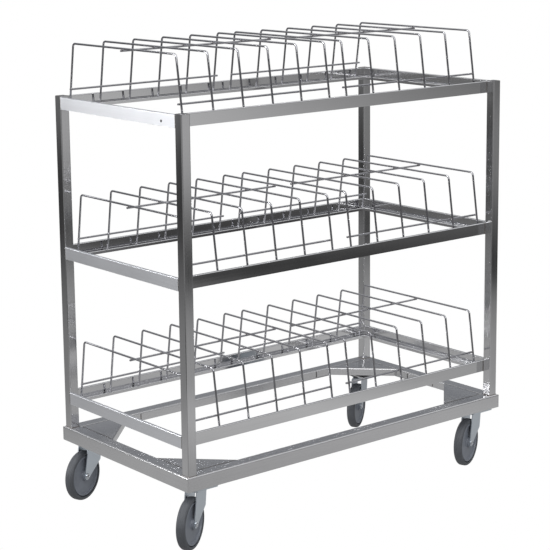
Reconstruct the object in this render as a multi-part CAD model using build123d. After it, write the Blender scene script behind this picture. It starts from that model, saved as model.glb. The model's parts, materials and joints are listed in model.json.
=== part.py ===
from build123d import *
import os
from math import atan, cos, degrees, hypot, radians, sin

# Dish drying trolley: a folded and welded sheet base on four swivel casters, four square tube posts,
# three shelf frames of folded rail, and six loose wire racks that stand on the shelf ledges.
# Millimetres, +X along the long side, +Y to the rear, +Z up.
# The origin is on the floor under the middle of the four posts.

# Posts
posts_length = 1020.0
posts_depth = 520.0
post_side = 25.0
post_wall = 1.5
post_corner = 2.5
post_above_rail = 1.5
cap_thickness = 1.5

# Casters
wheel_diameter = 125.0
caster_height = 146.0
caster_trail = 42.0
swivel_inset_x = 51.0
swivel_inset_y = 37.5
plate_along_x = 66.0
plate_along_y = 85.0
plate_thickness = 3.0
plate_corner = 6.0
race_radius = 20.0
race_depth = 3.7
kingpin_radius = 6.0
kingpin_head_radius = 10.0
kingpin_head_height = 2.5
fork_width = 31.0
fork_sheet = 2.5
fork_bend = 4.0
fork_crown_radius = 23.0
fork_crown_sheet = 3.0
fork_boss_radius = 10.0
fork_front_top = -24.0
fork_front_knee = -15.0
fork_knee_drop = 55.0
fork_rear_top = 34.0
boss_slope = 52.0
axle_radius = 4.0
axle_head_radius = 6.5
axle_head_height = 2.0
hub_radius = 13.0
disc_thickness = 13.0
disc_rim_width = 17.0
disc_rim_depth = 4.0
tyre_width = 24.0
tyre_thickness = 8.5
tyre_edge_land = 0.5
tyre_shoulder_facets = 3
swivel_running_gap = 0.3
pin_running_gap = 0.06
hub_end_gap = 0.3
# Which way each wheel trails behind its swivel, in degrees from the -X direction towards -Y
trail_angle = {"rear_left": 21.0, "front_left": 30.0, "front_right": 22.0, "rear_right": 32.0}

# Base
base_overhang = 5.0
base_height = 35.0
base_beam_width = 35.0
base_inner_flange = 20.0
base_sheet = 2.0
base_bend = 1.5
gusset_leg = 136.0
gusset_flange = 20.0
gusset_flange_end_gap = 5.0
seat_along_x = 90.0
seat_along_y = 92.0
seat_thickness = 3.0

# Shelf rails
lowest_shelf = 98.0
shelf_pitch = 372.0
shelf_names = ("bottom", "middle", "top")
rail_height = 30.0
rail_sheet = 1.5
rail_thickness = 8.0
rail_bend = 0.5
ledge_height = 8.0
ledge_reach = 27.0
# A small round hole in the outer skin of the top left rail
rail_hole_radius = 2.5
rail_hole_from_front = 76.6
rail_hole_height = 11.0

# Wire racks
wire_diameter = 5.0
wire_facets = 8
hoop_pitch = 88.9
hoop_height = 153.5
hoop_lean = 22.0
hoop_bend = 9.0
rack_side_clearance = 10.0
side_wire_height = 39.7
side_wire_overrun = 6.0
weld_gap = 0.02
foot_gap = 0.2
# Least distance kept between the ends of the two racks on a shelf
rack_gap = 20.0
# Distance from the end posts' outer faces to each rack's outermost hoop
bottom_left_rack_inset = 36.5
bottom_right_rack_inset = 36.6
middle_left_rack_inset = 40.1
middle_right_rack_inset = 29.2
top_left_rack_inset = 31.9
top_right_rack_inset = 48.8
# How far each loose rack is turned about +Z on its shelf, in degrees
rack_turn = {
    ("bottom", "left"): 0.46, ("bottom", "right"): 0.24,
    ("middle", "left"): 0.26, ("middle", "right"): -0.16,
    ("top", "left"): 0.98, ("top", "right"): 0.70,
}

# Worked out from the sizes above
half_length = posts_length / 2
half_depth = posts_depth / 2
base_half_length = half_length + base_overhang
base_half_depth = half_depth + base_overhang
base_underside = caster_height
base_top = base_underside + base_height
wheel_radius = wheel_diameter / 2
disc_radius = wheel_radius - tyre_thickness
shelf_level = {name: base_underside + lowest_shelf + i * shelf_pitch for i, name in enumerate(shelf_names)}
posts_top = shelf_level["top"] + rail_height + post_above_rail
ledge_top = {name: level + ledge_height for name, level in shelf_level.items()}
wire_radius = wire_diameter / 2
clear_between_rails = posts_depth - post_side - 2 * rail_thickness
hoop_foot_half_span = clear_between_rails / 2 - rack_side_clearance - wire_radius
hoop_top_half_span = hoop_foot_half_span - hoop_lean
rack_centre_y = post_side / 2
rack_inset = {
    ("bottom", "left"): bottom_left_rack_inset, ("bottom", "right"): bottom_right_rack_inset,
    ("middle", "left"): middle_left_rack_inset, ("middle", "right"): middle_right_rack_inset,
    ("top", "left"): top_left_rack_inset, ("top", "right"): top_right_rack_inset,
}
corner_signs = {"rear_left": (-1, 1), "front_left": (-1, -1), "front_right": (1, -1), "rear_right": (1, 1)}

os.makedirs("parts", exist_ok=True)


def save(name, solids):
    """Write one node as its STEP file; a list of solids becomes one group."""
    shape = Compound(children=list(solids)) if isinstance(solids, (list, tuple)) else solids
    export_step(shape, f"parts/{name}.step")


def only_solid(shape):
    """The single solid of a boolean result."""
    found = shape.solids()
    assert len(found) == 1, len(found)
    return found[0]


def block(x0, x1, y0, y1, z0, z1):
    """A box between two opposite corners."""
    size = Box(x1 - x0, y1 - y0, z1 - z0)
    return Pos((x0 + x1) / 2, (y0 + y1) / 2, (z0 + z1) / 2) * size


def folded_section(points, sheet, bend):
    """Section of a sheet with right-angle folds: points run along its left side, bend is inside a fold."""
    left = [Vector(*point) for point in points]
    runs = [(b - a).normalized() for a, b in zip(left, left[1:])]
    shifts = [Vector(run.Y, -run.X) * sheet for run in runs]
    right = [left[0] + shifts[0]]
    right += [point + a + b for point, a, b in zip(left[1:-1], shifts, shifts[1:])]
    right += [left[-1] + shifts[-1]]
    to_right = [a.cross(b).Z < 0 for a, b in zip(runs, runs[1:])]
    left_line = FilletPolyline(*left, radius=[bend + sheet if turn else bend for turn in to_right])
    right_line = FilletPolyline(*right, radius=[bend if turn else bend + sheet for turn in to_right])
    return make_face([left_line, Line(left[-1], right[-1]), right_line, Line(right[0], left[0])])


def beam_between(section, start, end, inward):
    """Extrude a section drawn in (inward, up) from start to end, both in plan at a height."""
    along = (end - start).normalized()
    plane = Plane(origin=start, x_dir=inward, z_dir=along)
    if plane.y_dir.Z < 0:
        plane = Plane(origin=end, x_dir=inward, z_dir=-along)
    return extrude(plane * section, amount=(end - start).length)


def mitre(solid, corner, inner):
    """Cut a solid by the upright plane through two plan points; the side that holds its middle stays."""
    across = Vector(inner[0] - corner[0], inner[1] - corner[1], 0).normalized()
    normal = Vector(-across.Y, across.X, 0)
    middle = solid.center() - Vector(corner[0], corner[1], 0)
    cut = Plane(origin=(corner[0], corner[1], 0), x_dir=across, z_dir=normal)
    kept = Keep.TOP if middle.dot(normal) > 0 else Keep.BOTTOM
    return only_solid(split(solid, bisect_by=cut, keep=kept))


def at_corners(make):
    """One solid for each corner of the trolley, from make(corner name, sign in x, sign in y)."""
    return [make(name, sx, sy) for name, (sx, sy) in corner_signs.items()]


def drawn_for_corner(solid, sx, sy):
    """Turn a solid drawn for the rear right corner, with its corner at the origin, to another corner."""
    if sx < 0:
        solid = mirror(solid, about=Plane.YZ)
    if sy < 0:
        solid = mirror(solid, about=Plane.XZ)
    return Pos(sx * base_half_length, sy * base_half_depth, base_underside) * solid


# Base beams: channels folded from sheet, mitred at the corners
base_section = folded_section(
    (
        (0, 0), (0, base_height), (base_beam_width, base_height),
        (base_beam_width, base_height - base_inner_flange),
    ),
    base_sheet,
    base_bend,
)
sides = {
    "front": ("front_left", "front_right", (0, 1, 0)),
    "rear": ("rear_left", "rear_right", (0, -1, 0)),
    "left": ("front_left", "rear_left", (1, 0, 0)),
    "right": ("front_right", "rear_right", (-1, 0, 0)),
}
base_corner = {
    name: Vector(sx * base_half_length, sy * base_half_depth, base_underside)
    for name, (sx, sy) in corner_signs.items()
}
for side, (first, last, inward) in sides.items():
    beam = only_solid(beam_between(base_section, base_corner[first], base_corner[last], inward))
    for name in (first, last):
        sx, sy = corner_signs[name]
        corner = base_corner[name]
        inner = (corner.X - sx * base_beam_width, corner.Y - sy * base_beam_width)
        beam = mitre(beam, (corner.X, corner.Y), inner)
    save(f"base_{side}_beam", beam)


# Corner gussets: triangular plates let in flush with the beams, their long edge folded down;
# the fold is notched short of the beams
def gusset(name, sx, sy):
    """A triangle between the two beams' inner flanges, drawn for the rear right corner."""
    near = -base_beam_width
    far = near - gusset_leg
    inset = base_sheet * 2**0.5
    outline = make_face(Polyline((near, near), (far, near), (near, far), close=True))
    hollow = make_face(Polyline((near, near), (far + inset, near), (near, far + inset), close=True))
    plate = extrude(Pos(0, 0, base_height - gusset_flange) * outline, amount=gusset_flange)
    plate -= extrude(Pos(0, 0, base_height - gusset_flange) * hollow, amount=gusset_flange - base_sheet)
    fold = plate.edges().filter_by_position(Axis.Z, base_height, base_height).sort_by(SortBy.LENGTH)[-1]
    plate = fillet(fold, base_bend + base_sheet)
    end = near - gusset_flange_end_gap
    plate -= block(far, near, end, near, base_height - gusset_flange, base_height - base_sheet)
    plate -= block(end, near, far, near, base_height - gusset_flange, base_height - base_sheet)
    return drawn_for_corner(only_solid(plate), sx, sy)


save("base_gussets", at_corners(gusset))


# Caster seats: plates welded into the mouths of the channels, flush with their lower edges
def caster_seat(name, sx, sy):
    """A flat plate inside two outer flanges, drawn for the rear right corner."""
    return drawn_for_corner(
        block(-seat_along_x, -base_sheet, -seat_along_y, -base_sheet, 0, seat_thickness), sx, sy
    )


save("caster_seats", at_corners(caster_seat))

# Posts: square tube, welded upright on the base
post_section = RectangleRounded(post_side, post_side, post_corner)
bore_side = post_side - 2 * post_wall
post_bore = RectangleRounded(bore_side, bore_side, post_corner - post_wall)
for name, (sx, sy) in corner_signs.items():
    centre = Pos(sx * (half_length - post_side / 2), sy * (half_depth - post_side / 2), base_top)
    post = extrude(centre * (post_section - post_bore), amount=posts_top - base_top)
    save(f"post_{name}", only_solid(post))


def post_cap(name, sx, sy):
    """The flat plate welded into the top of a post, with a small gap to its walls."""
    side = bore_side - 2 * weld_gap
    plate = extrude(RectangleRounded(side, side, post_corner - post_wall), amount=-cap_thickness)
    return Pos(sx * (half_length - post_side / 2), sy * (half_depth - post_side / 2), posts_top) * plate


save("post_caps", at_corners(post_cap))

# Shelf rails: one folded sheet each, with a narrow top, an inner wall, a ledge for the racks and a lip
rail_section = folded_section(
    (
        (0, 0), (0, rail_height), (rail_thickness, rail_height),
        (rail_thickness, ledge_height), (ledge_reach, ledge_height), (ledge_reach, 0),
    ),
    rail_sheet,
    rail_bend,
)
# The front rail runs behind the front posts; the other three lie flush with the posts' outer faces
rail_corner = {
    "front_left": Vector(-half_length, post_side - half_depth, 0),
    "front_right": Vector(half_length, post_side - half_depth, 0),
    "rear_left": Vector(-half_length, half_depth, 0),
    "rear_right": Vector(half_length, half_depth, 0),
}
rear_posts = [
    block(
        *sorted((sx * half_length, sx * (half_length - post_side))), half_depth - post_side, half_depth,
        base_top, posts_top,
    )
    for sx in (-1, 1)
]
rail_hole = Rot(0, 90, 0) * Cylinder(rail_hole_radius, 2 * rail_sheet)
for shelf in shelf_names:
    level = Vector(0, 0, shelf_level[shelf])
    for side, (first, last, inward) in sides.items():
        start, end = rail_corner[first] + level, rail_corner[last] + level
        rail = only_solid(beam_between(rail_section, start, end, inward))
        for name in (first, last):
            sx, sy = corner_signs[name]
            corner = rail_corner[name]
            inner = (corner.X - sx * ledge_reach, corner.Y - sy * ledge_reach)
            rail = mitre(rail, (corner.X, corner.Y), inner)
        if side != "front":
            rail = only_solid(rail - rear_posts)
        if (shelf, side) == ("top", "left"):
            place = Pos(-half_length, rail_hole_from_front - half_depth, level.Z + rail_hole_height)
            rail = only_solid(rail - place * rail_hole)
        save(f"{shelf}_{side}_rail", rail)


# Casters
def turned(profile):
    """Revolve an (r, z) outline about +Z."""
    return revolve(make_face(Polyline(*((r, 0, z) for r, z in profile), close=True)), axis=Axis.Z)


on_base = (Align.CENTER, Align.CENTER, Align.MIN)
plate_underside = base_underside - plate_thickness
race_underside = plate_underside - race_depth
crown_top = race_underside - swivel_running_gap
crown_underside = crown_top - fork_crown_sheet
swivel_centre = {
    name: (sx * (half_length - swivel_inset_x), sy * (half_depth - swivel_inset_y))
    for name, (sx, sy) in corner_signs.items()
}


def caster_plate(name, sx, sy):
    """The top plate with the upper ball race under it and a hole for the kingpin."""
    plate = extrude(
        Pos(0, 0, plate_underside) * RectangleRounded(plate_along_x, plate_along_y, plate_corner),
        amount=plate_thickness,
    )
    race = Pos(0, 0, race_underside) * Cylinder(race_radius, race_depth, align=on_base)
    hole = Pos(0, 0, race_underside) * Cylinder(kingpin_radius, race_depth + plate_thickness, align=on_base)
    return Pos(*swivel_centre[name], 0) * only_solid(plate + race - hole)


save("caster_plates", at_corners(caster_plate))


def kingpin(name, sx, sy):
    """The rivet that hangs the fork: a shank through plate and crown, and a head below the crown."""
    top = base_underside
    head_top = crown_underside - swivel_running_gap
    head_foot = head_top - kingpin_head_height
    outline = (
        (0, top), (kingpin_radius, top), (kingpin_radius, head_top), (kingpin_head_radius, head_top),
        (kingpin_head_radius, head_foot), (0, head_foot),
    )
    return Pos(*swivel_centre[name], 0) * only_solid(turned(outline))


save("caster_kingpins", at_corners(kingpin))


def fork():
    """Pressed fork, swivel axis on Z, axle along Y, wheel trailing towards -X."""
    axle_height = wheel_radius
    half = fork_width / 2
    gap_half = half - fork_sheet
    boss = Pos(-caster_trail, axle_height) * Circle(fork_boss_radius)
    front_of_boss = (
        -caster_trail + fork_boss_radius * sin(radians(boss_slope)),
        axle_height - fork_boss_radius * cos(radians(boss_slope)),
    )
    web = make_face(
        Polyline(
            (-fork_front_top, crown_top),
            (-fork_rear_top, crown_top),
            (-caster_trail - fork_boss_radius, axle_height),
            (-caster_trail, axle_height - fork_boss_radius),
            front_of_boss,
            (-fork_front_knee, base_underside - fork_knee_drop),
            close=True,
        )
    )
    body = extrude(Plane.XZ * (boss + web), amount=half, both=True)
    top_edges = body.edges().filter_by(Axis.X).sort_by(Axis.Z)[-2:]
    body = fillet(top_edges, fork_bend)
    rear_end = -caster_trail - fork_boss_radius
    front_end = -fork_front_top + fork_bend
    body -= block(rear_end - fork_bend, front_end, -gap_half, gap_half, 0, crown_underside)
    body += Pos(0, 0, crown_underside) * Cylinder(fork_crown_radius, fork_crown_sheet, align=on_base)
    pin_hole = Cylinder(kingpin_radius + pin_running_gap, 2 * fork_crown_sheet + fork_bend)
    body -= Pos(0, 0, crown_top) * pin_hole
    axle_hole = Rot(90, 0, 0) * Cylinder(axle_radius, fork_width + fork_sheet)
    body -= Pos(-caster_trail, 0, axle_height) * axle_hole
    return only_solid(body)


def axle():
    """Riveted axle through both fork legs, a flat head on each."""
    half = fork_width / 2
    end = half + axle_head_height
    outline = (
        (0, -end), (axle_head_radius, -end), (axle_head_radius, -half), (axle_radius, -half),
        (axle_radius, half), (axle_head_radius, half), (axle_head_radius, end), (0, end),
    )
    return Pos(-caster_trail, 0, wheel_radius) * Rot(90, 0, 0) * only_solid(turned(outline))


def wheel():
    """Moulded wheel: hub, thick flat disc and a shallow raised ring near its edge."""
    bore = axle_radius + pin_running_gap
    hub_half = fork_width / 2 - fork_sheet - hub_end_gap
    disc_half = disc_thickness / 2
    rim_half = disc_rim_width / 2
    rim_inner = disc_radius - disc_rim_depth
    outline = (
        (bore, -hub_half), (hub_radius, -hub_half), (hub_radius, -disc_half), (rim_inner, -disc_half),
        (rim_inner, -rim_half), (disc_radius, -rim_half), (disc_radius, rim_half), (rim_inner, rim_half),
        (rim_inner, disc_half), (hub_radius, disc_half), (hub_radius, hub_half), (bore, hub_half),
    )
    return Pos(-caster_trail, 0, wheel_radius) * Rot(90, 0, 0) * only_solid(turned(outline))


def tyre():
    """Solid tyre moulded round the disc, each rounded shoulder in straight facets."""
    half = tyre_width / 2
    radius = tyre_thickness - tyre_edge_land
    turns = [radians(90) * i / tyre_shoulder_facets for i in range(tyre_shoulder_facets + 1)]
    arc_r, arc_z = wheel_radius - radius, half - radius
    shoulder = [(arc_r + radius * sin(turn), arc_z + radius * cos(turn)) for turn in turns]
    far_side = [(r, -z) for r, z in shoulder]
    outline = [(disc_radius, -half), *far_side, *reversed(shoulder), (disc_radius, half)]
    return Pos(-caster_trail, 0, wheel_radius) * Rot(90, 0, 0) * only_solid(turned(outline))


caster_parts = {"fork": fork(), "axle": axle(), "wheel": wheel(), "tyre": tyre()}
for name, centre in swivel_centre.items():
    for kind, solid in caster_parts.items():
        save(f"caster_{name}_{kind}", Pos(*centre, 0) * Rot(0, 0, trail_angle[name]) * solid)

# Wire racks
foot_slope = hoop_lean / (hoop_height - wire_radius)


def hoop():
    """One bent wire in the YZ plane, its feet cut level at z = 0."""
    crest = hoop_height - wire_radius
    below = wire_diameter
    points = (
        (0, -hoop_foot_half_span - below * foot_slope, -below), (0, -hoop_top_half_span, crest),
        (0, hoop_top_half_span, crest), (0, hoop_foot_half_span + below * foot_slope, -below),
    )
    path = FilletPolyline(*points, radius=hoop_bend)
    start = Plane(origin=path @ 0, z_dir=path % 0, x_dir=(1, 0, 0))
    flats = 180 / wire_facets
    section = RegularPolygon(wire_radius, wire_facets, major_radius=False, rotation=flats)
    bent = sweep(start * section, path=path)
    reach = 2 * hoop_foot_half_span
    return only_solid(bent - block(-reach, reach, -reach, reach, -reach, 0))


def straight_wire(length, y, z, tilt):
    """A straight wire along X, centred on x = 0, its flat sides tilted to lie along a sloping leg."""
    flats = 180 / wire_facets + tilt
    section = Plane.YZ * RegularPolygon(wire_radius, wire_facets, major_radius=False, rotation=flats)
    return Pos(0, y, z) * only_solid(extrude(section, amount=length / 2, both=True))


def hoop_places(inset):
    """X of each hoop from the rack's middle: as many as fit between the inset and the shelf's middle."""
    room = half_length - inset - side_wire_overrun - rack_gap / 2
    pitches = int(room / hoop_pitch)
    return [(i - pitches / 2) * hoop_pitch for i in range(pitches + 1)]


one_hoop = hoop()
side_wire_y = (
    hoop_foot_half_span - side_wire_height * foot_slope
    - (wire_diameter + weld_gap) * hypot(1, foot_slope)
)
leg_tilt = degrees(atan(foot_slope))
spine_z = hoop_height - wire_radius - wire_diameter - weld_gap
for (shelf, end), inset in rack_inset.items():
    toward_end = -1 if end == "left" else 1
    places = hoop_places(inset)
    centre_x = toward_end * (half_length - inset - places[-1])
    place = Pos(centre_x, rack_centre_y, ledge_top[shelf] + foot_gap) * Rot(0, 0, rack_turn[shelf, end])
    hoops = [place * Pos(x, 0, 0) * one_hoop for x in places]
    half_count = len(hoops) // 2
    save(f"{shelf}_{end}_rack_hoops_left", hoops[:half_count])
    save(f"{shelf}_{end}_rack_hoops_right", hoops[half_count:])
    wire_length = 2 * (places[-1] + side_wire_overrun)
    wires = [
        straight_wire(wire_length, -side_wire_y, side_wire_height, -leg_tilt),
        straight_wire(wire_length, side_wire_y, side_wire_height, leg_tilt),
        straight_wire(wire_length, 0, spine_z, 0),
    ]
    save(f"{shelf}_{end}_rack_wires", [place * wire for wire in wires])
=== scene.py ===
import json
import math

import bmesh
import bpy
import numpy as np
from mathutils import Matrix, Vector


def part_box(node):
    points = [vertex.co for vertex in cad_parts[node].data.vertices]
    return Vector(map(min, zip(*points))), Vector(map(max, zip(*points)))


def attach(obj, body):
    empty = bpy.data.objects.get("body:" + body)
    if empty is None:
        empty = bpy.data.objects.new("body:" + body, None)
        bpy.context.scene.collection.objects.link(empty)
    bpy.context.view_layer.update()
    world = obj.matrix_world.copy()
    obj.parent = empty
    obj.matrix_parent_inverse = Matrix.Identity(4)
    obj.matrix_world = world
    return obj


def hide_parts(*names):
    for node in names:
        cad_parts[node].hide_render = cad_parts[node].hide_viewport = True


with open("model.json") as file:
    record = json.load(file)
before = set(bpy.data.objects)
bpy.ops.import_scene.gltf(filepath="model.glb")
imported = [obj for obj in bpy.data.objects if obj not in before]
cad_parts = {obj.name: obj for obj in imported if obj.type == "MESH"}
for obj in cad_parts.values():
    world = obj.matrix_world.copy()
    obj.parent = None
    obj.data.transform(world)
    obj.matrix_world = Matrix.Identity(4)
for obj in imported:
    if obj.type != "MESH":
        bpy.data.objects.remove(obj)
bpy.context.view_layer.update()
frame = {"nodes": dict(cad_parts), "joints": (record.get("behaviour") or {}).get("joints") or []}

# Camera: a long lens from the front left corner, half a metre above the top shelf. It looks down
# about 11 degrees and rolls half a degree.
photo_width, focal_length = 550.0, 1710.0  # pixels
camera_x, camera_y, camera_z = -2.7246, -3.2924, 1.4901
yaw, pitch, roll = (math.radians(v) for v in (39.268, 10.699, -0.575))
ahead = Vector((math.sin(yaw) * math.cos(pitch), math.cos(yaw) * math.cos(pitch), -math.sin(pitch)))
level = Vector((math.cos(yaw), -math.sin(yaw), 0))
upright = level.cross(ahead)
right = level * math.cos(roll) + upright * math.sin(roll)
top = upright * math.cos(roll) - level * math.sin(roll)
camera_data = bpy.data.cameras.new("camera")
camera_data.sensor_width = 36.0
camera_data.lens = focal_length / photo_width * camera_data.sensor_width
camera_data.shift_y = -0.1
camera_data.clip_end = 200.0
camera = bpy.data.objects.new("camera", camera_data)
camera.matrix_world = Matrix(
    (
        (right.x, top.x, -ahead.x, camera_x),
        (right.y, top.y, -ahead.y, camera_y),
        (right.z, top.z, -ahead.z, camera_z),
        (0, 0, 0, 1),
    )
)
scene = bpy.context.scene
scene.collection.objects.link(camera)
scene.camera = camera
scene.view_settings.view_transform = "Standard"

# Floor: a plain white studio floor, much wider than the view. The camera sees it white; to every other ray
# it glows in painted light for the metal to mirror: light near the trolley, a dark stretch, then grey.
floor_half = 60.0
floor_corners = [(x * floor_half, y * floor_half, 0) for x, y in ((-1, -1), (1, -1), (1, 1), (-1, 1))]
floor_mesh = bpy.data.meshes.new("floor")
floor_mesh.from_pydata(floor_corners, [], [(0, 1, 2, 3)])
floor = bpy.data.objects.new("floor", floor_mesh)
scene.collection.objects.link(floor)


def feed(tree, node, inputs):
    """Fill inputs of a node, each with a value or with the output of another node."""
    for name, value in inputs.items():
        if isinstance(value, bpy.types.NodeSocket):
            tree.links.new(value, node.inputs[name])
        else:
            node.inputs[name].default_value = value


def add(tree, kind, inputs=None, **settings):
    """A new shader node of one kind, with its settings and its inputs."""
    node = tree.nodes.new("ShaderNode" + kind)
    for name, value in settings.items():
        setattr(node, name, value)
    feed(tree, node, inputs or {})
    return node


def white_to_camera(owner, output, shader):
    """A floor's or room's tree: white for camera rays, and for all others the colour input given back."""
    owner.use_nodes = True
    tree = owner.node_tree
    tree.nodes.clear()
    path = add(tree, "LightPath")
    mirrored = add(tree, shader)
    seen = add(tree, shader, {"Color": (1, 1, 1, 1)})
    choice = {"Fac": path.outputs["Is Camera Ray"], 1: mirrored.outputs[0], 2: seen.outputs[0]}
    by_ray = add(tree, "MixShader", choice)
    add(tree, output, {"Surface": by_ray.outputs[0]})
    return tree, mirrored.inputs["Color"]


def ramped(tree, value, colors):
    """A value looked up in a color ramp of (position, grey or color) pairs."""
    node = add(tree, "ValToRGB", {"Fac": value})
    elements = node.color_ramp.elements
    while len(elements) < len(colors):
        elements.new(0.5)
    for element, (position, color) in zip(elements, colors):
        element.position = position
        element.color = (*color, 1) if isinstance(color, tuple) else (color, color, color, 1)
    return node.outputs["Color"]


floor_material = bpy.data.materials.new("studio_floor")
floor_mesh.materials.append(floor_material)
floor_tree, mirrored_floor = white_to_camera(floor_material, "OutputMaterial", "Emission")
on_floor = add(floor_tree, "TexCoord").outputs["Object"]


def along_floor(heading, reach):
    """How far a point of the floor lies along a heading, as a share of a reach: a dot product."""
    share = tuple(part / reach for part in heading)
    return add(floor_tree, "VectorMath", {0: on_floor, 1: share}, operation="DOT_PRODUCT").outputs["Value"]


def combined(operation, *values):
    """Values of the floor joined by a math node."""
    return add(floor_tree, "Math", dict(enumerate(values)), operation=operation).outputs[0]


# Over the floor the camera looks along (heading_x, heading_y). Faces square to the front mirror that
# along (heading_x, -heading_y) and faces square to the left along (-heading_x, heading_y), so the
# floor has a lane for each. A ramp's positions are shares of a reach, and the reaches are in metres.
heading_x, heading_y = 0.633, 0.774
lane_reach, ring_reach, far_reach = 4.0, 8.0, 12.0
sideways = along_floor((heading_y, heading_x, 0.0), lane_reach)
to_front = along_floor((heading_x, -heading_y, 0.0), far_reach)
to_rear = along_floor((-heading_x, heading_y, 0.0), far_reach)
to_camera = along_floor((-heading_x, -heading_y, 0.0), far_reach)
across, beside = combined("ABSOLUTE", sideways), combined("ABSOLUTE", to_front)
spread = add(floor_tree, "VectorMath", {0: on_floor}, operation="LENGTH").outputs["Value"]
ring = combined("DIVIDE", spread, ring_reach)

# The tones below are painted light and shade in the floor's glow, seen only where the metal mirrors it.
near_front = (
    (0.0, 0.0), (0.01, 0.30), (0.04, 0.44), (0.062, 0.53), (0.08, 0.58), (0.105, 0.43), (0.15, 0.39),
    (0.20, 0.27), (0.228, 0.04), (0.24, 0.0),
)
far_front = (
    (0.21, 0.0), (0.23, 0.05), (0.255, 0.06), (0.277, 0.12), (0.34, 0.24), (0.37, 0.36), (0.43, 0.52),
    (0.60, 0.62), (0.85, 0.5),
)
from_left_to_right = ((0.22, 1.0), (0.33, 0.88), (0.5, 0.68), (0.68, 0.52), (0.82, 0.42))
toward_rear = (
    (0.0, 0.0), (0.01, 0.33), (0.06, 0.48), (0.085, 0.40), (0.125, 0.29), (0.19, 0.24), (0.275, 0.12),
    (0.31, 0.08), (0.345, 0.015), (0.44, 0.012), (0.52, 0.05), (0.67, 0.15), (1.0, 0.2),
)
lane_edge = ((0.0, 1.0), (0.38, 1.0), (0.5, 0.0))
toward_camera = ((0.08, 0.0), (0.2, 0.09), (0.27, 0.13), (0.43, 0.24), (0.6, 0.25))
camera_lane_edge = ((0.0, 1.0), (0.09, 1.0), (0.14, 0.0))
around = ((0.0, 0.58), (0.06, 0.46), (0.10, 0.38), (0.14, 0.27), (0.18, 0.18), (0.24, 0.05), (1.0, 0.04))
beyond = ((0.15, 0.0), (0.35, 0.22), (1.0, 0.30))
outside_lanes = ((0.45, 0.0), (0.62, 1.0))

to_right = ramped(floor_tree, combined("MULTIPLY_ADD", sideways, 1.0, 0.5), from_left_to_right)
far_lane = combined("MULTIPLY", ramped(floor_tree, to_front, far_front), to_right)
front_lane = combined("MAXIMUM", ramped(floor_tree, to_front, near_front), far_lane)
rear_lane = ramped(floor_tree, to_rear, toward_rear)
both_lanes = combined("MAXIMUM", front_lane, rear_lane)
lanes = combined("MULTIPLY", both_lanes, ramped(floor_tree, across, lane_edge))
camera_edge = ramped(floor_tree, beside, camera_lane_edge)
camera_lane = combined("MULTIPLY", ramped(floor_tree, to_camera, toward_camera), camera_edge)
distance = ramped(floor_tree, ring, beyond)
far_floor = combined("MULTIPLY", distance, ramped(floor_tree, across, outside_lanes))
open_floor = combined("MAXIMUM", ramped(floor_tree, ring, around), far_floor)
painted_floor_light = combined("MAXIMUM", combined("MAXIMUM", lanes, camera_lane), open_floor)
floor_tree.links.new(painted_floor_light, mirrored_floor)

# Light: the room is white to the camera. To the metal it is a dim grey studio, brighter overhead
# and square on to each side, with soft boxes at the left, overhead and in front.
room = bpy.data.worlds.new("studio")
scene.world = room
room_tree, mirrored_room = white_to_camera(room, "OutputWorld", "Background")
outward = add(room_tree, "TexCoord").outputs["Generated"]
height = add(room_tree, "SeparateXYZ", {0: outward}).outputs["Z"]
ceiling = (0.9, 0.9, 0.9)
far_wall = (
    (0.0, (0.19, 0.20, 0.22)), (0.25, (0.22, 0.23, 0.25)), (0.42, (0.27, 0.28, 0.30)), (0.6, ceiling),
    (1.0, ceiling),
)
near_wall = ((0.0, (0.07, 0.07, 0.08)), (0.2, (0.10, 0.10, 0.11)), (0.36, (0.75, 0.76, 0.79)), (1.0, ceiling))
behind_camera = {0: outward, 1: (-heading_x, -heading_y, 0.0)}
facing = add(room_tree, "VectorMath", behind_camera, operation="DOT_PRODUCT").outputs["Value"]
nearness = add(room_tree, "MapRange", {"Value": facing, "From Min": -0.3, "From Max": 0.3}).outputs[0]
both_walls = {
    "Factor": nearness, "A": ramped(room_tree, height, far_wall), "B": ramped(room_tree, height, near_wall),
}
walls = add(room_tree, "Mix", both_walls, data_type="RGBA").outputs["Result"]
screen_edge, screen_light = 12.0, 0.4
unsigned = add(room_tree, "VectorMath", {0: outward}, operation="ABSOLUTE").outputs["Vector"]
sharpened = {0: unsigned, 1: (screen_edge, screen_edge, 1.0)}
squarely = add(room_tree, "VectorMath", sharpened, operation="POWER").outputs["Vector"]
four_sides = {0: squarely, 1: (screen_light, screen_light, 0.0)}
screens = add(room_tree, "VectorMath", four_sides, operation="DOT_PRODUCT").outputs["Value"]
whole_room = add(room_tree, "VectorMath", {0: walls, 1: screens}, operation="MAXIMUM").outputs["Vector"]
room_tree.links.new(whole_room, mirrored_room)


def soft_box(name, place, aim, size, watts):
    """A rectangular light at a place, turned to a point, with its two sides and its power."""
    data = bpy.data.lights.new(name, "AREA")
    data.shape = "RECTANGLE"
    data.size, data.size_y = size
    data.energy = watts
    lamp = bpy.data.objects.new(name, data)
    scene.collection.objects.link(lamp)
    lamp.location = place
    lamp.rotation_euler = (Vector(aim) - Vector(place)).to_track_quat("-Z", "Y").to_euler()


soft_box("overhead_box", (-1.5, -1.0, 4.2), (0, 0, 0.5), (3.5, 3.5), 60)
soft_box("left_box", (-3.0, 1.95, 1.3), (-0.3, -0.1, 0.9), (1.3, 0.3), 42)
soft_box("front_box", (-2.0, -5.0, 3.2), (0, 0, 0.6), (3.0, 2.0), 90)


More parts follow.
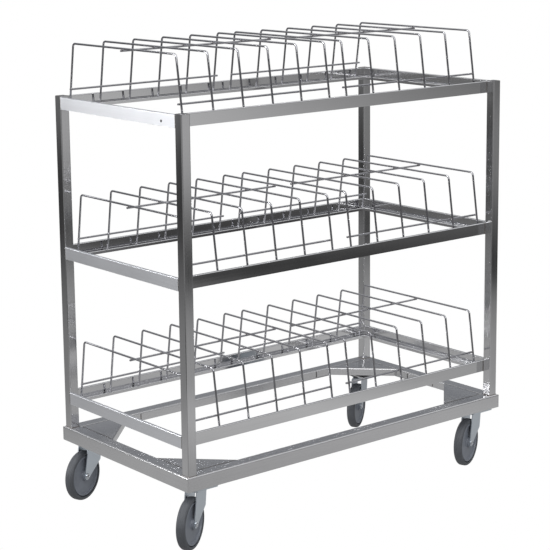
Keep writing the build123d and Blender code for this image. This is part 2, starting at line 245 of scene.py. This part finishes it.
# Base: four channels folded from 2 mm stainless sheet and mitred, with a gusset plate let into each
# corner and a seat plate under it. The sheet is polished, so its grain follows each beam.
def effect(name, inputs):
    """A node group with named inputs that puts out Color, Roughness and Height, and its two end nodes."""
    group = bpy.data.node_groups.new(name, "ShaderNodeTree")
    for title, kind, value in inputs:
        socket = group.interface.new_socket(title, in_out="INPUT", socket_type="NodeSocket" + kind)
        socket.default_value = value
    for title, kind in (("Color", "Color"), ("Roughness", "Float"), ("Height", "Float")):
        group.interface.new_socket(title, in_out="OUTPUT", socket_type="NodeSocket" + kind)
    return group, group.nodes.new("NodeGroupInput").outputs, group.nodes.new("NodeGroupOutput")


def grain_group():
    """Streaks along one axis and soft clouds, in colour, gloss and height.

    Streaks are noise on object coordinates squeezed across the grain, clouds are plain noise. Each is
    taken less a half, times its strength, and the two are added. The colour is times one plus that sum,
    the roughness has 0.6 of it added, and the streaks are the height.
    """
    inputs = (
        ("Color", "Color", (0.7, 0.7, 0.7, 1)), ("Stretch", "Vector", (1, 1, 1)),
        ("Roughness", "Float", 0.25), ("Streaks", "Float", 0.1), ("Clouds", "Float", 0.06),
    )
    group, given, made = effect("grain", inputs)
    place = add(group, "TexCoord").outputs["Object"]
    squeezed = add(group, "VectorMath", {0: place, 1: given["Stretch"]}, operation="MULTIPLY").outputs[0]
    fine = {"Vector": squeezed, "Scale": 1.0, "Detail": 4.0, "Roughness": 0.7}
    streaks = add(group, "TexNoise", fine).outputs["Fac"]
    clouds = add(group, "TexNoise", {"Vector": place, "Scale": 9.0, "Detail": 3.0}).outputs["Fac"]

    def math_node(operation, *values):
        """Values of the group joined by a math node."""
        return add(group, "Math", dict(enumerate(values)), operation=operation).outputs[0]

    lines = math_node("MULTIPLY", math_node("SUBTRACT", streaks, 0.5), given["Streaks"])
    blots = math_node("MULTIPLY", math_node("SUBTRACT", clouds, 0.5), given["Clouds"])
    both = math_node("ADD", lines, blots)
    scaled = {0: given["Color"], "Scale": math_node("ADD", both, 1.0)}
    tone = add(group, "VectorMath", scaled, operation="SCALE").outputs[0]
    gloss = math_node("MULTIPLY_ADD", both, 0.6, given["Roughness"])
    feed(group, made, {"Color": tone, "Roughness": gloss, "Height": streaks})
    return group


def new_material(name):
    """A material, its node tree and the shader that its nodes feed."""
    material = bpy.data.materials.new(name)
    material.use_nodes = True
    return material, material.node_tree, material.node_tree.nodes["Principled BSDF"]


def relief(tree, height, strength):
    """The normal of a surface whose height varies by up to 0.2 mm."""
    return add(tree, "Bump", {"Height": height, "Strength": strength, "Distance": 0.0002}).outputs["Normal"]


grain = grain_group()
lengthwise, crosswise = 2.5, 420.0  # streaks to the metre
stretch = {
    "x": (lengthwise, crosswise, crosswise), "y": (crosswise, lengthwise, crosswise),
    "z": (crosswise, crosswise, lengthwise),
}


def steel(name, axis, color, roughness, anisotropy, streaks, clouds, bump):
    """A metal whose grain runs along one axis."""
    material, tree, shader = new_material(name)
    values = {"Color": (*color, 1), "Stretch": stretch[axis], "Roughness": roughness}
    values.update({"Streaks": streaks, "Clouds": clouds})
    pattern = add(tree, "Group", values, node_tree=grain).outputs
    tangent = add(tree, "Tangent", direction_type="RADIAL", axis=axis.upper()).outputs["Tangent"]
    feed(tree, shader, {"Base Color": pattern["Color"], "Roughness": pattern["Roughness"], "Metallic": 1.0})
    feed(tree, shader, {"Anisotropic": anisotropy, "Tangent": tangent})
    feed(tree, shader, {"Normal": relief(tree, pattern["Height"], bump)})
    return material


def wear(node, material):
    """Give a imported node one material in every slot."""
    for slot in frame["nodes"][node].material_slots:
        slot.material = material


sheet = {a: steel(f"stainless_sheet_{a}", a, (0.66, 0.66, 0.67), 0.24, 0.5, 0.16, 0.10, 0.10) for a in "xy"}
for side in ("front", "rear"):
    wear(f"base_{side}_beam", sheet["x"])
for side in ("left", "right"):
    wear(f"base_{side}_beam", sheet["y"])
for node in ("base_gussets", "caster_seats"):
    wear(node, sheet["x"])

# Posts: 25 mm square stainless tube, polished upright before it is welded down, each closed by a
# flat cap.
tube = steel("stainless_tube_z", "z", (0.62, 0.62, 0.63), 0.13, 0.0, 0.20, 0.06, 0.04)
for corner in ("front_left", "front_right", "rear_left", "rear_right"):
    wear(f"post_{corner}", tube)
wear("post_caps", sheet["x"])

# Shelf rails: one folded strip of thin stainless sheet each. The front and rear rails are bright
# polished and mirror the floor, the left ones have a duller satin finish, the right ones are between.
polished = steel("polished_rail_x", "x", (0.70, 0.70, 0.71), 0.08, 0.0, 0.10, 0.08, 0.03)
satin = steel("satin_rail_y", "y", (0.77, 0.78, 0.81), 0.36, 0.3, 0.08, 0.06, 0.06)
brushed = steel("brushed_rail_y", "y", (0.70, 0.70, 0.71), 0.13, 0.0, 0.12, 0.08, 0.04)
shelves = ("bottom", "middle", "top")
for shelf in shelves:
    for side in ("front", "rear"):
        wear(f"{shelf}_{side}_rail", polished)
    wear(f"{shelf}_left_rail", satin)
    wear(f"{shelf}_right_rail", brushed)


# Frame welds: narrow beads of stainless filler where the posts stand on the base, where the rails
# meet the posts, along the gussets and the base's mitres, round the caps and beside the caster plates.
def heat_tint_group():
    """What heat leaves on weld metal: noise runs its colour from cool grey to straw.

    The roughness is 0.25 plus 0.3 of the noise, and the noise is the height.
    """
    inputs = (
        ("Cool", "Color", (0.5, 0.5, 0.52, 1)), ("Straw", "Color", (0.5, 0.45, 0.38, 1)),
        ("Scale", "Float", 120.0),
    )
    group, given, made = effect("heat_tint", inputs)
    place = add(group, "TexCoord").outputs["Object"]
    tint = add(group, "TexNoise", {"Vector": place, "Scale": given["Scale"], "Detail": 4.0}).outputs["Fac"]
    tones = {"Factor": tint, "A": given["Cool"], "B": given["Straw"]}
    color = add(group, "Mix", tones, data_type="RGBA").outputs["Result"]
    dull = add(group, "Math", {0: tint, 1: 0.3, 2: 0.25}, operation="MULTIPLY_ADD").outputs[0]
    feed(group, made, {"Color": color, "Roughness": dull, "Height": tint})
    return group


heat_tint = heat_tint_group()


def weld_metal(name, cool, straw, scale):
    """Weld metal: the two colours of its heat tint, and how fine the tint is."""
    material, tree, shader = new_material(name)
    values = {"Cool": (*cool, 1), "Straw": (*straw, 1), "Scale": scale}
    pattern = add(tree, "Group", values, node_tree=heat_tint).outputs
    feed(tree, shader, {"Base Color": pattern["Color"], "Roughness": pattern["Roughness"], "Metallic": 1.0})
    feed(tree, shader, {"Normal": relief(tree, pattern["Height"], 0.3)})
    return material


def skin(rings, looped=False):
    """Quads between rows of points, each row a closed ring.

    Point (row i, place j) goes with (i + 1, j), (i + 1, j + 1) and (i, j + 1), each counted round. Unless
    the rows loop too, a flat face closes each end.
    """
    rows, count = rings.shape[:2]
    i, j = np.meshgrid(np.arange(rows if looped else rows - 1), np.arange(count), indexing="ij")
    after, beside = (i + 1) % rows, (j + 1) % count
    quads = np.stack((i * count + j, after * count + j, after * count + beside, i * count + beside), -1)
    ends = [] if looped else [np.arange(count), np.arange(count) + (rows - 1) * count]
    return rings.reshape(-1, 3), quads.reshape(-1, 4), ends


def piece(name, shells, material, body, crease=35.0):
    """One object from closed shells: faces turned outwards, shading smooth but for edges past the crease."""
    points, quads, ends = zip(*shells)
    starts = np.cumsum([0] + [len(shell) for shell in points])
    faces = np.concatenate([part + start for start, part in zip(starts, quads)]).tolist()
    faces += [(end + start).tolist() for start, pair in zip(starts, ends) for end in pair]
    mesh = bpy.data.meshes.new(name)
    mesh.from_pydata(np.concatenate(points).tolist(), [], faces)
    ready = bmesh.new()
    ready.from_mesh(mesh)
    bmesh.ops.recalc_face_normals(ready, faces=ready.faces)
    ready.to_mesh(mesh)
    ready.free()
    mesh.shade_smooth()
    mesh.set_sharp_from_angle(angle=math.radians(crease))
    mesh.materials.append(material)
    made = bpy.data.objects.new(name, mesh)
    scene.collection.objects.link(made)
    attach(made, body)
    return made


ripple, ring_step, end_taper = 0.0013, 0.00045, 0.0012


def bead(path, out, up, looped=False):
    """A weld bead along a path, reaching sideways by out and up at each point.

    Its section is the curve (1-t)^2 out + 2t(1-t) 0.62 (out + up) + t^2 up, closed by a straight
    underside. It swells and shrinks by 6 per cent every ripple, and narrows over the taper at open ends.
    """
    t = np.linspace(0, 1, 7)[:, None]
    out, up = out[:, None], up[:, None]
    section = (1 - t) ** 2 * out + 1.24 * t * (1 - t) * (out + up) + t**2 * up
    run = np.concatenate(([0], np.cumsum(np.linalg.norm(np.diff(path, axis=0), axis=1))))
    swell = 0.94 + 0.12 * np.abs(np.sin(np.pi * run / ripple))
    if not looped:
        swell = swell * np.clip(np.minimum(run, run[-1] - run) / end_taper, 0.25, 1) ** 0.5
    return skin(path[:, None] + section * swell[:, None, None], looped)


def straight_bead(line, mirror):
    """A bead on a straight line: its start, end, out and up, each times the mirror's signs."""
    start, end, out, up = (np.array(v) * mirror for v in line)
    share = np.linspace(0, 1, max(3, int(np.linalg.norm(end - start) / ring_step)))[:, None]
    path = start + share * (end - start)
    return bead(path, out + 0 * path, up + 0 * path)


def square_path(half, radius):
    """Points round a square with rounded corners, a ring step apart, and the normals there.

    Along each side x stays at half, and past the side's end both x and y follow an arc:
    half - radius + radius (cos, sin). The last point stays clear of the first.
    """
    side, bend_length = 2 * (half - radius), math.pi / 2 * radius
    travelled = np.arange(0, 4 * (side + bend_length) - 0.0002, ring_step)
    turn, part = np.divmod(travelled, side + bend_length)
    bend = np.clip(part - side, 0, bend_length) / radius
    x = half - radius + radius * np.cos(bend)
    y = np.minimum(part, side) - side / 2 + radius * np.sin(bend)
    quarter = turn * math.pi / 2
    cos, sin = np.cos(quarter), np.sin(quarter)
    points = np.stack((x * cos - y * sin, x * sin + y * cos, 0 * x), -1)
    return points, np.stack((np.cos(bend + quarter), np.sin(bend + quarter), 0 * x), -1)


joints = {joint["name"]: joint for joint in frame["joints"]}
corner_signs = {"rear_left": (-1, 1), "front_left": (-1, -1), "front_right": (1, -1), "rear_right": (1, 1)}
# The bead metal is dark partly as weld heat tint and partly as painted shade where the parts meet.
weld_and_painted_shade = weld_metal("stainless_bead_and_painted_shade", (0.22, 0.22, 0.24), (0.20, 0.17, 0.14), 160.0)
base_low, base_high = (corner[2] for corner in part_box("base_front_beam"))
posts_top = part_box("post_front_left")[1][2]
post_x, post_y, post_half, post_radius = 0.4975, 0.2475, 0.0125, 0.0025
cap_half, cap_radius = 0.011, 0.001
inside_x, inside_y, outer_x, outer_y = 0.480, 0.230, 0.5148, 0.2648
gusset_end_x, gusset_end_y = inside_x - 0.132, inside_y - 0.132
flange_end_x, flange_end_y = inside_x - 0.181, inside_y - 0.181
flange_low, flange_high = 0.1615, 0.1785
plate_x, plate_y = joints["rear_right_swivel_turn"]["pos_m"][:2]
plate_inner_x, plate_outer_x, plate_inner_y = plate_x - 0.033, plate_x + 0.033, plate_y - 0.0425
# The beads of the rear right corner: start, end, out and up. The other corners mirror them.
corner_lines = (
    # The gusset's two straight edges.
    ((0.479, inside_y, base_high), (gusset_end_x, inside_y, base_high), (0, 0.0007, 0), (0, -0.0006, 0.0003)),
    ((inside_x, 0.229, base_high), (inside_x, gusset_end_y, base_high), (0.0007, 0, 0), (-0.0006, 0, 0.0003)),
    # Dark upright seams where the gusset's flanges end: weld, and painted shadow of the gap there.
    ((flange_end_x, 0.2302, flange_low), (flange_end_x, 0.2302, flange_high), (0.003, 0, 0), (0, -0.001, 0)),
    ((0.4802, flange_end_y, flange_low), (0.4802, flange_end_y, flange_high), (0, 0.003, 0), (-0.001, 0, 0)),
    # The base's mitre.
    ((outer_x, outer_y, base_low), (outer_x, outer_y, base_high), (-0.0011, 0.0003, 0), (0.0003, -0.0011, 0)),
    # Three sides of the caster plate.
    ((plate_inner_x, 0.196, base_low), (plate_inner_x, 0.244, base_low), (-0.0026, 0, 0), (0, 0, -0.0025)),
    ((plate_outer_x, 0.196, base_low), (plate_outer_x, 0.244, base_low), (0.0026, 0, 0), (0, 0, -0.0025)),
    ((0.440, plate_inner_y, base_low), (0.478, plate_inner_y, base_low), (0, -0.0026, 0), (0, 0, -0.0025)),
)
# The beads of a rail's ends on the right posts: x, y, out and up. The left posts mirror them.
rail_lines = (
    (0.485, -0.235, (0, -0.0016, 0), (-0.0016, 0, 0)),
    (0.5085, -0.2362, (0.0013, 0.0018, 0), (0.0013, -0.0016, 0)),
    (0.5085, 0.2362, (0.0013, -0.0018, 0), (0.0013, 0.0016, 0)),
    (0.4862, 0.2585, (-0.0018, 0.0013, 0), (0.0016, 0.0013, 0)),
)
foot, foot_out = square_path(post_half, post_radius)
foot_up = 0 * foot + (0, 0, 0.0016)
rim, rim_out = square_path(cap_half, cap_radius)
rim_up = (0, 0, 0.0005) - 0.0007 * rim_out
beads = []
for sx, sy in corner_signs.values():
    post = np.array((sx * post_x, sy * post_y, 0.0))
    beads.append(bead(foot + post + (0, 0, base_high), 0.0014 * foot_out, foot_up, looped=True))
    beads.append(bead(rim + post + (0, 0, posts_top), 0.0008 * rim_out, rim_up, looped=True))
    beads += [straight_bead(line, (sx, sy, 1)) for line in corner_lines]
for shelf in shelves:
    low, high = (corner[2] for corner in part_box(f"{shelf}_front_rail"))
    for sx in (-1, 1):
        for x, y, out, up in rail_lines:
            beads.append(straight_bead(((x, y, low), (x, y, high), out, up), (sx, 1, 1)))
piece("frame_welds", beads, weld_and_painted_shade, "frame")

# Racks: each has six hoops of drawn 5 mm stainless wire, bent on a 9 mm radius, and three straight
# wires. Round wires stand for the CAD's faceted ones in the same places.
wire = steel("drawn_wire", "x", (0.40, 0.40, 0.42), 0.08, 0.0, 0.10, 0.05, 0.0)
wire_radius, bend_radius = 0.0025, 0.009
foot_half, crest_half, crest = 0.227, 0.205, 0.151
slope = (foot_half - crest_half) / crest
around_wire = np.linspace(0, 2 * math.pi, 16, endpoint=False)


def round_wire(path, side, rounding):
    """A wire along points: a circle across its run at each, and both ends a little smaller.

    The circle is radius (cos a times side + sin a times run x side).
    """
    run = np.gradient(path, axis=0)
    run /= np.linalg.norm(run, axis=1, keepdims=True)
    side = np.array(side) + 0 * run
    over = np.cross(run, side)
    cos, sin = np.cos(around_wire)[None, :, None], np.sin(around_wire)[None, :, None]
    size = np.full(len(path), wire_radius)
    size[[0, -1]] -= rounding
    return skin(path[:, None] + (cos * side[:, None] + sin * over[:, None]) * size[:, None, None])


def hoop_line():
    """Half the hoop's middle line, mirrored: a sloping leg, an arc that turns it level, and the crest.

    The arc's points are radius (cos a, sin a), with a from a right angle plus the bend down to a right angle.
    """
    bend = math.atan2(crest, foot_half - crest_half)
    cut = bend_radius * math.tan(bend / 2)
    angle = math.pi / 2 + np.linspace(bend, 0, 11)
    shoulder = np.stack((0 * angle, bend_radius * np.cos(angle), bend_radius * np.sin(angle)), -1)
    shoulder += (0, cut - crest_half, crest - bend_radius)
    foot_z = 0.0004
    foot = np.array((0, slope * foot_z - foot_half, foot_z))
    leg = foot + np.array((0, 0.0025, 0.3, 0.7))[:, None] * (shoulder[0] - foot)
    half = np.concatenate((leg, shoulder))
    return np.concatenate((half, half[::-1] * (1, -1, 1)))


def straight_line(length, y, z):
    """Points along X with one close to each end, where the sheared tip is rounded."""
    x = np.array((-0.5, -0.4988, -0.2, 0.2, 0.4988, 0.5)) * length
    return np.stack((x, 0 * x + y, 0 * x + z), -1)


crossing = 0.00502  # from one wire's middle to the other's where they are welded
side_z, spine_z = 0.0397, crest - crossing
side_y = foot_half - side_z * slope - crossing * math.hypot(1, slope)
hoop_count, hoop_pitch, overhang = 6, 0.0889, 0.006
hoop_x = (np.arange(hoop_count) - (hoop_count - 1) / 2) * hoop_pitch
wire_length = 2 * (hoop_x[-1] + overhang)
shelf_end, rack_y = 0.510, 0.0125
# How far each rack is inset from the shelf's end in mm, and how far it is turned in degrees.
rack_places = {
    ("bottom", "left"): (36.5, 0.46), ("bottom", "right"): (36.6, 0.24), ("middle", "left"): (40.1, 0.26),
    ("middle", "right"): (29.2, -0.16), ("top", "left"): (31.9, 0.98), ("top", "right"): (48.8, 0.70),
}
shelf_floor = {"bottom": 0.2522, "middle": 0.6242, "top": 0.9962}

# Spot welds: where each hoop crosses the side wires and the spine the wires are squeezed together
# hot, and a small dark nugget fills the corners between them.
nugget_metal = weld_metal("spot_weld", (0.34, 0.34, 0.36), (0.30, 0.26, 0.22), 400.0)
nugget_half, nugget_half_thin = 0.0031, 0.0017


def nugget(centre, thin):
    """A flattened ball: rings at height sin a and radius cos a, a from -1.35 to 1.35, thin one way."""
    thin = np.array(thin) / np.linalg.norm(thin)
    side = np.array((1.0, 0.0, 0.0))
    over = np.cross(thin, side)
    rise = np.linspace(-1.35, 1.35, 7)[:, None, None]
    turn = np.linspace(0, 2 * math.pi, 12, endpoint=False)[None, :, None]
    flat = np.cos(rise) * (np.cos(turn) * side + np.sin(turn) * over)
    return skin(np.array(centre) + nugget_half * flat + nugget_half_thin * np.sin(rise) * thin)


for (shelf, end), (inset, turn) in rack_places.items():
    toward_end = -1 if end == "left" else 1
    middle = np.array((toward_end * (shelf_end - inset / 1000 - hoop_x[-1]), rack_y, shelf_floor[shelf]))
    cos, sin = math.cos(math.radians(turn)), math.sin(math.radians(turn))
    spin = np.array(((cos, sin, 0), (-sin, cos, 0), (0, 0, 1)))
    wires = [round_wire(hoop_line() + (x, 0, 0), (1.0, 0.0, 0.0), 0.0002) for x in hoop_x]
    for y, z in ((-side_y, side_z), (side_y, side_z), (0.0, spine_z)):
        wires.append(round_wire(straight_line(wire_length, y, z), (0.0, 1.0, 0.0), 0.0005))
    nuggets = [nugget((x, 0, spine_z + crossing / 2), (0, 0, 1)) for x in hoop_x]
    for sy in (-1, 1):
        thin = np.array((0, -sy, -slope)) / math.hypot(1, slope)
        nuggets += [nugget(np.array((x, sy * side_y, side_z)) - crossing / 2 * thin, thin) for x in hoop_x]
    wires, nuggets = (
        [(points @ spin + middle, quads, ends) for points, quads, ends in shells]
        for shells in (wires, nuggets)
    )
    rack = f"{shelf}_{end}_rack"
    wirework = piece(f"{rack}_wirework", wires, wire, rack)
    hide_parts(f"{rack}_hoops_left", f"{rack}_hoops_right", f"{rack}_wires")
    piece(f"{rack}_nuggets", nuggets, nugget_metal, rack, crease=60.0)

# Casters: a pressed zinc plated fork hangs from its top plate on a ball race. A black ring round the race
# is painted shade under the plate. A hollow rivet is the axle, its ends rolled over outside the fork's legs.
zinc = steel("zinc_plate", "z", (0.60, 0.65, 0.70), 0.38, 0.0, 0.08, 0.14, 0.05)
rivet = steel("plated_rivet", "z", (0.62, 0.64, 0.67), 0.22, 0.0, 0.05, 0.1, 0.0)
for node in frame["nodes"]:
    if node.endswith("_fork") or node in ("caster_plates", "caster_kingpins"):
        wear(node, zinc)


def moulded(name, color, roughness, mottle, bump):
    """A plastic or rubber: noise runs its colour from 1 - mottle to 1 + mottle times itself.

    Finer noise is the height of its skin.
    """
    material, tree, shader = new_material(name)
    place = add(tree, "TexCoord").outputs["Object"]
    blots = add(tree, "TexNoise", {"Vector": place, "Scale": 40.0, "Detail": 5.0}).outputs["Fac"]
    dark, light = (tuple(c * share for c in color) for share in (1 - mottle, 1 + mottle))
    tone = ramped(tree, blots, ((0.3, dark), (0.7, light)))
    grit = add(tree, "TexNoise", {"Vector": place, "Scale": 900.0}).outputs["Fac"]
    feed(tree, shader, {"Base Color": tone, "Roughness": roughness, "Normal": relief(tree, grit, bump)})
    return material


def turned(outline, centre, axis, steps):
    """A closed outline of (radius, distance along the axis) in mm, turned about the axis.

    Each point goes to centre + radius (cos a times level + sin a times axis x level) + distance times axis.
    """
    axis = np.array(axis)
    level = np.cross(axis, (0, 0, 1)) if abs(axis[2]) < 0.5 else np.array((1.0, 0.0, 0.0))
    over = np.cross(axis, level)
    angle = np.linspace(0, 2 * math.pi, steps, endpoint=False)[:, None, None]
    outline = np.array(outline) / 1000
    spokes = outline[None, :, :1] * (np.cos(angle) * level + np.sin(angle) * over)
    return skin(np.array(centre) + spokes + outline[None, :, 1:] * axis, looped=True)


def both_sides(outline):
    """An outline given from its inner to its outer radius on one side, followed by its mirror image."""
    outline = np.array(outline)
    return np.concatenate((outline, outline[::-1] * (1, -1)))


def arc(radius, r, y, start, stop, steps=6):
    """Points (r + radius cos a, y + radius sin a), with a from one angle to another in degrees."""
    angle = np.radians(np.linspace(start, stop, steps))
    return np.stack((r + radius * np.cos(angle), y + radius * np.sin(angle)), -1)


# This black is painted shade: the ring round each ball race and the bush in the rail's hole.
painted_shade_black = moulded("black_painted_shade", (0.015, 0.015, 0.018), 0.6, 0.1, 0.3)
half_rivet = [
    (3.2, 0.0), (3.2, 16.6), *arc(1.7, 4.9, 16.8, 175, 90, 4), (6.3, 18.2), (7.1, 17.2), (7.2, 15.5),
    (4.0, 15.4),
]
lips = [
    (20.2, 142.8), (23.6, 142.8), (24.2, 142.2), (23.2, 141.2), (24.6, 139.9), (24.4, 139.4), (20.2, 139.5),
]
axles = {}
for corner in corner_signs:
    swivel = (*joints[f"{corner}_swivel_turn"]["pos_m"][:2], 0.0)
    axle = joints[f"{corner}_wheel_spin"]
    axles[corner] = (axle["pos_m"], axle["axis"])
    # The black ring stands in for the shade in the gap between the fork's crown and the plate.
    painted_shade_ring_shell = turned(lips, swivel, (0, 0, 1), steps=64)
    piece(f"{corner}_painted_shade_ring", [painted_shade_ring_shell], painted_shade_black, "frame")
    hollow = turned(both_sides(half_rivet)[1:-1], *axles[corner], steps=48)
    rolled = piece(f"{corner}_rivet", [hollow], rivet, f"{corner}_swivel")
    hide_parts(f"caster_{corner}_axle")

# Wheels: one moulding of grey plastic each, with a long hub, a flat dished disc and a raised rim
# that ends in a narrow groove beside the tyre.
disc = moulded("wheel_plastic", (0.165, 0.18, 0.21), 0.42, 0.08, 0.15)
half_disc = [
    (4.1, 12.7), (12.3, 12.7), (12.8, 12.5), (13.0, 12.0), *arc(2.5, 15.5, 9.0, 180, 270), (20.0, 6.3),
    (30.0, 6.0), (38.0, 6.1), *arc(4.0, 42.5, 10.2, 270, 330), *arc(0.8, 47.2, 9.4, 150, 90, 3),
    *arc(0.8, 50.2, 9.4, 90, 10, 4), (51.2, 4.5), (54.1, 4.2),
]
for corner in corner_signs:
    solid = turned(both_sides(half_disc), *axles[corner], steps=128)
    moulding = piece(f"{corner}_disc", [solid], disc, f"{corner}_wheel", crease=40.0)
    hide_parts(f"caster_{corner}_wheel")

# Tyres: dull grey rubber moulded round the discs, with rounded shoulders, and a fine line round the
# tread where the two halves of the mould meet.
rubber = moulded("tyre_rubber", (0.075, 0.08, 0.09), 0.55, 0.12, 0.3)
half_tyre = [
    (53.2, 4.4), (53.5, 4.8), (53.6, 10.3), *arc(1.2, 54.8, 10.4, 170, 90, 5),
    *arc(7.4, 55.0, 4.2, 80, 0, 12), (62.38, 2.5), (62.36, 0.5), (62.5, 0.25),
]
for corner in corner_signs:
    solid = turned(both_sides(half_tyre), *axles[corner], steps=128)
    tread = piece(f"{corner}_tread", [solid], rubber, f"{corner}_wheel")
    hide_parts(f"caster_{corner}_tyre")

# Rail hole: a black bush lines the small round hole in the top left rail, its lip outside: painted shade.
hole_shade_outline = [(1.3, -3.0), (2.4, -3.0), (2.4, 0.05), (3.0, 0.1), (3.1, 0.5), (2.6, 0.8), (1.7, 0.8), (1.3, 0.4)]
rail_hole = (-0.510, -0.1834, 0.999)
piece("rail_hole_shade", [turned(hole_shade_outline, rail_hole, (-1, 0, 0), steps=32)], painted_shade_black, "frame")
